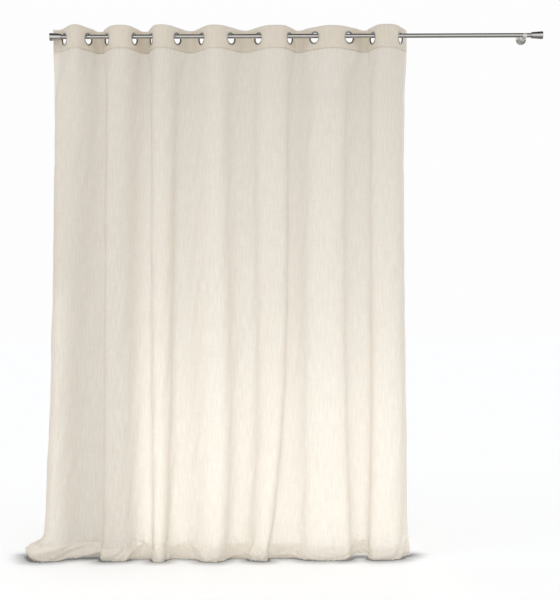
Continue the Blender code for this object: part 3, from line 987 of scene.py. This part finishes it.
def area_light(plan):
    lamp = bpy.data.objects.new(plan.name, bpy.data.lights.new(plan.name, "AREA"))
    bpy.context.scene.collection.objects.link(lamp)
    lamp.data.shape = "RECTANGLE"
    lamp.data.size, lamp.data.size_y = plan.width, plan.height
    lamp.data.energy = plan.watts
    lamp.data.spread = math.radians(plan.spread)
    lamp.location = plan.place
    lamp.rotation_mode = "QUATERNION"
    lamp.rotation_quaternion = (Vector(plan.target) - Vector(plan.place)).to_track_quat("-Z", "Y")
    lamp.visible_camera = False


def floor_tone_with_painted_shadow(x, y, hem, front, back):
    """The floor's tone with a painted shadow: dark under the cloth and close behind it, a soft painted shadow before
    it.
    """
    near, _, away = hem.find((x, y, 0))
    # painted contact shadow before the hem; the painted shadow behind it follows below
    before = 0.2 * math.exp(-away / 0.006) + 0.44 * math.exp(-((away / 0.058) ** 2))
    before -= 0.02 * math.exp(-((away / 0.4) ** 2))
    open_here = OPEN_FLOOR + FAR_LIFT * smooth_step(away / 2.5)
    if front < y <= back:
        return PAINTED_SHADOW_UNDER_CLOTH
    behind = (OPEN_FLOOR - PAINTED_SHADOW_UNDER_CLOTH) * math.exp(-((away / PAINTED_SHADOW_BEHIND_REACH) ** 2))
    share = smooth_step((y - near.y) / max(away, 0.001))
    return open_here - before * (1 - share) - behind * share


def make_floor(panel):
    """A wide floor whose points carry a painted shadow: dark under the cloth, paler away from its hem."""
    floor_z = ROD_RISE - FLOOR_DROP
    low = np.array([v.co[:2] for v in panel.data.vertices if v.co.z < floor_z + HEM_TOUCH])
    hem = KDTree(len(low))
    for number, (x, y) in enumerate(low):
        hem.insert((x, y, 0), number)
    hem.balance()
    x_lines = [-30, -5, *np.arange(-2.42, -0.30, FLOOR_STEP), 2.3, 30]
    y_lines = [-30, -3, *np.arange(-0.42, 0.14, FLOOR_STEP), 2.7, 30]
    reach = []
    for x in x_lines:
        depths = low[np.abs(low[:, 0] - x) < 1.5 * FLOOR_STEP, 1]
        reach.append((depths.min(), depths.max()) if len(depths) else (0.0, 0.0))
    bpy.ops.mesh.primitive_grid_add(x_subdivisions=len(x_lines) - 1, y_subdivisions=len(y_lines) - 1, size=2)
    floor = bpy.context.object
    floor.name = "studio_floor"
    # the "open" attribute holds the floor's tone with its painted shadow
    openness = floor.data.attributes.new("open", "FLOAT", "POINT")
    for vertex in floor.data.vertices:
        column = round((vertex.co.x + 1) / 2 * (len(x_lines) - 1))
        row = round((vertex.co.y + 1) / 2 * (len(y_lines) - 1))
        x, y = x_lines[column], y_lines[row]
        vertex.co = (x, y, floor_z)
        openness.data[vertex.index].value = floor_tone_with_painted_shadow(x, y, hem, *reach[column])
    return floor


def make_studio(panel):
    scene = bpy.context.scene
    scene.view_settings.view_transform = "Standard"
    room = bpy.data.worlds.new("studio")
    scene.world = room
    room.use_nodes = True
    room.node_tree.nodes.clear()
    shade = Shade(room.node_tree)
    seen = shade.node("ShaderNodeLightPath")
    mirrored = shade.node("ShaderNodeLightPath", out=3)
    toward = shade.node("ShaderNodeSeparateXYZ", inputs={0: shade.node("ShaderNodeTexCoord")})
    right = toward
    away = Shade(shade.tree, toward.socket.node.outputs[1])
    up = Shade(shade.tree, toward.socket.node.outputs[2])
    soft = ROOM_ABOVE * (0.5 + 0.5 * up) + ROOM_RIGHT * (0.5 + 0.5 * right) + ROOM_FRONT * (0.5 - 0.5 * away)
    band = shade.node("ShaderNodeMapRange", {"interpolation_type": "SMOOTHSTEP"}, {0: abs(up), 1: 0.35, 2: 0.8, 3: MIRRORED_BAND, 4: MIRRORED_ABOVE})
    strength = soft + mirrored * (band - soft)
    strength = strength + seen * (BACKGROUND - strength)
    room_light = shade.node("ShaderNodeBackground", inputs={"Color": (1, 1, 1, 1), "Strength": strength})
    shade.node("ShaderNodeOutputWorld", inputs={"Surface": room_light})
    strips = [
        Lamp(f"behind {number + 1}", watts, 1.36, STRIP_HEIGHT, 34, (-1.12, 0.32, height), (-1.12, 0, height))
        for number, watts in enumerate(STRIP_WATTS)
        for height in (STRIP_LOWEST + number * STRIP_HEIGHT,)
    ]
    for lamp in (*LAMPS, *strips):
        area_light(lamp)
    bpy.ops.object.select_all(action="DESELECT")
    floor = make_floor(panel)
    material, shade = new_material("pale floor")
    seen = shade.node("ShaderNodeLightPath")
    # painted shadow: the floor's base colour and its white glow follow the "open" attribute
    floor_painted_shadow = shade.node("ShaderNodeAttribute", {"attribute_name": "open"}, out=2)
    color = shade.node("ShaderNodeCombineColor", inputs={0: floor_painted_shadow, 1: floor_painted_shadow, 2: floor_painted_shadow})
    spot = shade.node("ShaderNodeSeparateXYZ", inputs={0: shade.node("ShaderNodeTexCoord", out=3)})
    into_room = abs(Shade(shade.tree, spot.socket.node.outputs[1]))
    far = shade.node("ShaderNodeMapRange", {"interpolation_type": "SMOOTHSTEP"}, {0: into_room, 1: 1.5, 2: 5.5, 3: MIRRORED_NEAR_FLOOR, 4: 1.0})
    mirrored_color = shade.node("ShaderNodeCombineColor", inputs={0: far, 1: far, 2: far})
    ground = {"Base Color": color, "Roughness": 0.95, "Specular IOR Level": 0.0}
    glow = shade.node("ShaderNodeVectorMath", {"operation": "SCALE"}, {0: (0.95, 1, 1.07), "Scale": floor_painted_shadow})
    shown = {"Emission Color": glow, "Emission Strength": FLOOR_WHITE}
    mirrored = shade.node("ShaderNodeLightPath", out=3)
    plain = shade.node("ShaderNodeBsdfPrincipled", inputs=ground)
    dark = shade.node("ShaderNodeBsdfPrincipled", inputs={**ground, "Base Color": mirrored_color})
    white = shade.node("ShaderNodeBsdfPrincipled", inputs={**ground, **shown})
    unseen = shade.node("ShaderNodeMixShader", inputs={0: mirrored, 1: plain, 2: dark})
    both = shade.node("ShaderNodeMixShader", inputs={0: seen, 1: unseen, 2: white})
    shade.node("ShaderNodeOutputMaterial", inputs={"Surface": both})
    floor.data.materials.append(material)


def main():
    bpy.ops.object.select_all(action="DESELECT")
    make_camera()
    rod_steel = satin_steel("rod steel", (0.62, 0.605, 0.575), 0.17, "X")
    ring_steel = satin_steel("eyelet steel", (0.50, 0.48, 0.45), 0.2, "X", painted_bore_shade=True)
    make_rod(rod_steel)
    make_finials(rod_steel)
    make_plates(rod_steel)
    make_arms(rod_steel)
    frames = eyelet_frames()
    make_eyelets(frames, ring_steel)
    panel = make_panel()
    dress(panel, linen("sheer linen", 0.84, 0.35, 0.7))
    make_studio(panel)
    heading = make_heading(frames)
    dress(heading, linen("double linen", 0.97, 0.28, 1.0))


main()
